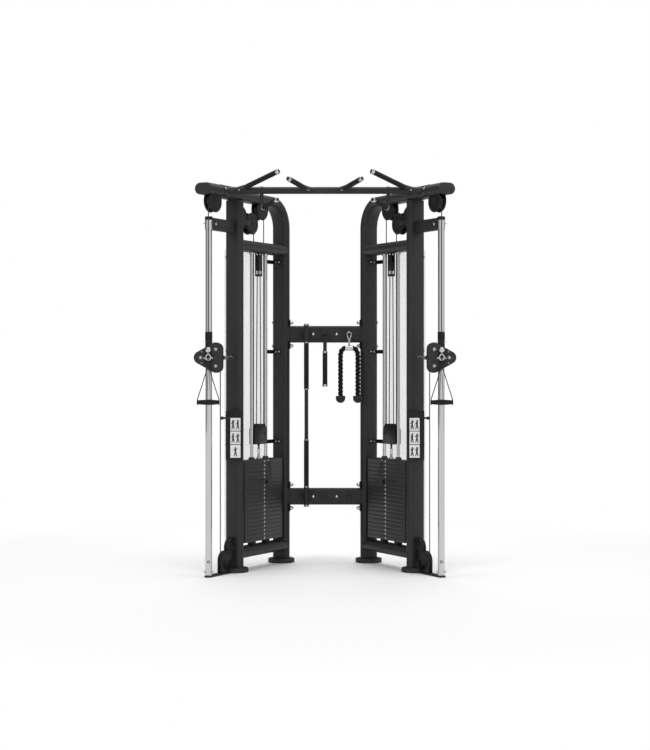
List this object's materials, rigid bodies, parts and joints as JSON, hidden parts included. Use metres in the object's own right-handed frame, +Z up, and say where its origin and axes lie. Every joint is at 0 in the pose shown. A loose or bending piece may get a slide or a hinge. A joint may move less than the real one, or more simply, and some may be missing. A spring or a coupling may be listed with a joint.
{
  "type": "functional trainer",
  "caption": "Gym functional trainer: two angled weight towers with cable carriages on columns, joined by crossbeams and a chin-up bar, with hung bars and a rope.",
  "frame": {"origin": "centre of the bounding box at floor level", "axes": "+X to the viewer's right, -Y to the front where the user stands, +Z up"},
  "size_m": [1.546, 0.9338, 2.4086],
  "materials": {
    "powder_coat": "satin",
    "chrome": "polished",
    "black_plastic": "matte",
    "rubber": "matte",
    "iron": "satin",
    "clear_sheet": "clear"
  },
  "bodies": {
    "frame": {"left_front_upright": "powder_coat", "left_rear_frame": "powder_coat", "left_upper_tie": "powder_coat", "left_lower_tie": "powder_coat", "left_front_foot": "rubber", "left_rear_foot": "rubber", "left_column": "chrome", "left_column_base": "powder_coat", "left_guide_rod_front": "chrome", "left_guide_rod_rear": "chrome", "left_shroud": "clear_sheet", "left_rest_plates": "iron", "left_cable": "rubber", "right_front_upright": "powder_coat", "right_rear_frame": "powder_coat", "right_upper_tie": "powder_coat", "right_lower_tie": "powder_coat", "right_front_foot": "rubber", "right_rear_foot": "rubber", "right_column": "chrome", "right_column_base": "powder_coat", "right_guide_rod_front": "chrome", "right_guide_rod_rear": "chrome", "right_shroud": "clear_sheet", "right_rest_plates": "iron", "right_cable": "rubber", "upper_crossbeam": "powder_coat", "lower_crossbeam": "powder_coat", "chin_up_bar": "powder_coat"},
    "left_carriage": {"left_carriage": "black_plastic"},
    "left_weight_head": {"left_weight_head": "iron", "left_pin_lanyard": "rubber"},
    "left_release_lever": {"left_release_lever": "chrome"},
    "left_handle": {"left_handle": "rubber"},
    "left_selector_pin": {"left_selector_pin": "black_plastic"},
    "left_front_top_pulley": {"left_front_top_pulley": "black_plastic"},
    "left_rear_pulley": {"left_rear_pulley": "black_plastic"},
    "left_mid_pulley": {"left_mid_pulley": "black_plastic"},
    "left_upright_pulley": {"left_upright_pulley": "black_plastic"},
    "left_bottom_pulley_upper": {"left_bottom_pulley_upper": "black_plastic"},
    "left_bottom_pulley_lower": {"left_bottom_pulley_lower": "black_plastic"},
    "left_stack_pulley_front": {"left_stack_pulley_front": "black_plastic"},
    "left_stack_pulley_rear": {"left_stack_pulley_rear": "black_plastic"},
    "right_carriage": {"right_carriage": "black_plastic"},
    "right_weight_head": {"right_weight_head": "iron", "right_pin_lanyard": "rubber"},
    "right_release_lever": {"right_release_lever": "chrome"},
    "right_handle": {"right_handle": "rubber"},
    "right_selector_pin": {"right_selector_pin": "black_plastic"},
    "right_front_top_pulley": {"right_front_top_pulley": "black_plastic"},
    "right_rear_pulley": {"right_rear_pulley": "black_plastic"},
    "right_mid_pulley": {"right_mid_pulley": "black_plastic"},
    "right_upright_pulley": {"right_upright_pulley": "black_plastic"},
    "right_bottom_pulley_upper": {"right_bottom_pulley_upper": "black_plastic"},
    "right_bottom_pulley_lower": {"right_bottom_pulley_lower": "black_plastic"},
    "right_stack_pulley_front": {"right_stack_pulley_front": "black_plastic"},
    "right_stack_pulley_rear": {"right_stack_pulley_rear": "black_plastic"},
    "long_bar": {"long_bar": "powder_coat"},
    "short_bar": {"short_bar": "powder_coat"},
    "triceps_rope": {"triceps_rope": "rubber"}
  },
  "joints": [
    {"name": "left_carriage_slide", "type": "slide", "parent": "frame", "child": "left_carriage", "axis": [0, 0, 1], "range_m": [-0.75, 0.55], "deforming": ["left_cable"]},
    {"name": "left_lever_pull", "type": "slide", "parent": "left_carriage", "child": "left_release_lever", "axis": [1, 0, 0], "range_m": [0, 0.012], "stiffness_N_per_m": 600, "springref_m": -0.004},
    {"name": "left_handle_swing", "type": "hinge", "parent": "left_carriage", "child": "left_handle", "pos_m": [-0.686, -0.43349, 1.34], "axis": [1, 0, 0], "range_deg": [-80, 0]},
    {"name": "left_weight_lift", "type": "slide", "parent": "frame", "child": "left_weight_head", "axis": [0, 0, 1], "range_m": [0, 0.8], "deforming": ["left_cable"]},
    {"name": "left_pin_pull", "type": "slide", "parent": "left_weight_head", "child": "left_selector_pin", "axis": [0.8829, -0.4695, 0], "range_m": [0, 0.11], "deforming": ["left_pin_lanyard"]},
    {"name": "left_front_top_pulley_spin", "type": "hinge", "parent": "frame", "child": "left_front_top_pulley", "pos_m": [-0.66333, -0.37084, 2.221], "axis": [-0.8829, 0.4695, 0], "continuous": true},
    {"name": "left_rear_pulley_spin", "type": "hinge", "parent": "frame", "child": "left_rear_pulley", "pos_m": [-0.40634, 0.14249, 2.221], "axis": [-0.8829, 0.4695, 0], "continuous": true},
    {"name": "left_mid_pulley_spin", "type": "hinge", "parent": "frame", "child": "left_mid_pulley", "pos_m": [-0.46455, 0.033, 2.124], "axis": [-0.8829, 0.4695, 0], "continuous": true},
    {"name": "left_upright_pulley_spin", "type": "hinge", "parent": "frame", "child": "left_upright_pulley", "pos_m": [-0.52812, -0.08655, 2.1565], "axis": [-0.8829, 0.4695, 0], "continuous": true},
    {"name": "left_bottom_pulley_upper_spin", "type": "hinge", "parent": "frame", "child": "left_bottom_pulley_upper", "pos_m": [-0.56783, -0.16125, 0.153], "axis": [-0.8829, 0.4695, 0], "continuous": true},
    {"name": "left_bottom_pulley_lower_spin", "type": "hinge", "parent": "frame", "child": "left_bottom_pulley_lower", "pos_m": [-0.60229, -0.22606, 0.08], "axis": [-0.8829, 0.4695, 0], "continuous": true},
    {"name": "left_stack_pulley_front_spin", "type": "hinge", "parent": "left_weight_head", "child": "left_stack_pulley_front", "pos_m": [-0.43389, 0.09066, 0.828], "axis": [-0.8829, 0.4695, 0], "continuous": true},
    {"name": "left_stack_pulley_rear_spin", "type": "hinge", "parent": "left_weight_head", "child": "left_stack_pulley_rear", "pos_m": [-0.39164, 0.17012, 0.828], "axis": [-0.8829, 0.4695, 0], "continuous": true},
    {"name": "right_carriage_slide", "type": "slide", "parent": "frame", "child": "right_carriage", "axis": [0, 0, 1], "range_m": [-0.75, 0.55], "deforming": ["right_cable"]},
    {"name": "right_lever_pull", "type": "slide", "parent": "right_carriage", "child": "right_release_lever", "axis": [-1, 0, 0], "range_m": [0, 0.012], "stiffness_N_per_m": 600, "springref_m": -0.004},
    {"name": "right_handle_swing", "type": "hinge", "parent": "right_carriage", "child": "right_handle", "pos_m": [0.686, -0.43349, 1.34], "axis": [1, 0, 0], "range_deg": [-80, 0]},
    {"name": "right_weight_lift", "type": "slide", "parent": "frame", "child": "right_weight_head", "axis": [0, 0, 1], "range_m": [0, 0.8], "deforming": ["right_cable"]},
    {"name": "right_pin_pull", "type": "slide", "parent": "right_weight_head", "child": "right_selector_pin", "axis": [-0.8829, -0.4695, 0], "range_m": [0, 0.11], "deforming": ["right_pin_lanyard"]},
    {"name": "right_front_top_pulley_spin", "type": "hinge", "parent": "frame", "child": "right_front_top_pulley", "pos_m": [0.66333, -0.37084, 2.221], "axis": [-0.8829, -0.4695, 0], "continuous": true},
    {"name": "right_rear_pulley_spin", "type": "hinge", "parent": "frame", "child": "right_rear_pulley", "pos_m": [0.40634, 0.14249, 2.221], "axis": [-0.8829, -0.4695, 0], "continuous": true},
    {"name": "right_mid_pulley_spin", "type": "hinge", "parent": "frame", "child": "right_mid_pulley", "pos_m": [0.46455, 0.033, 2.124], "axis": [-0.8829, -0.4695, 0], "continuous": true},
    {"name": "right_upright_pulley_spin", "type": "hinge", "parent": "frame", "child": "right_upright_pulley", "pos_m": [0.52812, -0.08655, 2.1565], "axis": [-0.8829, -0.4695, 0], "continuous": true},
    {"name": "right_bottom_pulley_upper_spin", "type": "hinge", "parent": "frame", "child": "right_bottom_pulley_upper", "pos_m": [0.56783, -0.16125, 0.153], "axis": [-0.8829, -0.4695, 0], "continuous": true},
    {"name": "right_bottom_pulley_lower_spin", "type": "hinge", "parent": "frame", "child": "right_bottom_pulley_lower", "pos_m": [0.60229, -0.22606, 0.08], "axis": [-0.8829, -0.4695, 0], "continuous": true},
    {"name": "right_stack_pulley_front_spin", "type": "hinge", "parent": "right_weight_head", "child": "right_stack_pulley_front", "pos_m": [0.43389, 0.09066, 0.828], "axis": [-0.8829, -0.4695, 0], "continuous": true},
    {"name": "right_stack_pulley_rear_spin", "type": "hinge", "parent": "right_weight_head", "child": "right_stack_pulley_rear", "pos_m": [0.39164, 0.17012, 0.828], "axis": [-0.8829, -0.4695, 0], "continuous": true},
    {"name": "long_bar_lift_off", "type": "slide", "parent": "frame", "child": "long_bar", "axis": [0, -1, 0], "range_m": [0, 0.2]},
    {"name": "short_bar_lift_off", "type": "slide", "parent": "frame", "child": "short_bar", "axis": [0, -1, 0], "range_m": [0, 0.12]},
    {"name": "triceps_rope_lift_off", "type": "slide", "parent": "frame", "child": "triceps_rope", "axis": [0, -1, 0], "range_m": [0, 0.12]}
  ],
  "couplings": [
    {"joint": "left_front_top_pulley_spin", "follows": "left_carriage_slide", "rad_per_m": 20.704},
    {"joint": "left_rear_pulley_spin", "follows": "left_carriage_slide", "rad_per_m": 20.704},
    {"joint": "left_mid_pulley_spin", "follows": "left_weight_lift", "rad_per_m": -82.816},
    {"joint": "left_upright_pulley_spin", "follows": "left_weight_lift", "rad_per_m": -82.816},
    {"joint": "left_bottom_pulley_upper_spin", "follows": "left_weight_lift", "rad_per_m": 82.816},
    {"joint": "left_bottom_pulley_lower_spin", "follows": "left_weight_lift", "rad_per_m": 82.816},
    {"joint": "left_stack_pulley_front_spin", "follows": "left_weight_lift", "rad_per_m": 176.47},
    {"joint": "left_stack_pulley_rear_spin", "follows": "left_weight_lift", "rad_per_m": 58.824},
    {"joint": "right_front_top_pulley_spin", "follows": "right_carriage_slide", "rad_per_m": 20.704},
    {"joint": "right_rear_pulley_spin", "follows": "right_carriage_slide", "rad_per_m": 20.704},
    {"joint": "right_mid_pulley_spin", "follows": "right_weight_lift", "rad_per_m": -82.816},
    {"joint": "right_upright_pulley_spin", "follows": "right_weight_lift", "rad_per_m": -82.816},
    {"joint": "right_bottom_pulley_upper_spin", "follows": "right_weight_lift", "rad_per_m": 82.816},
    {"joint": "right_bottom_pulley_lower_spin", "follows": "right_weight_lift", "rad_per_m": 82.816},
    {"joint": "right_stack_pulley_front_spin", "follows": "right_weight_lift", "rad_per_m": 176.47},
    {"joint": "right_stack_pulley_rear_spin", "follows": "right_weight_lift", "rad_per_m": 58.824}
  ]
}
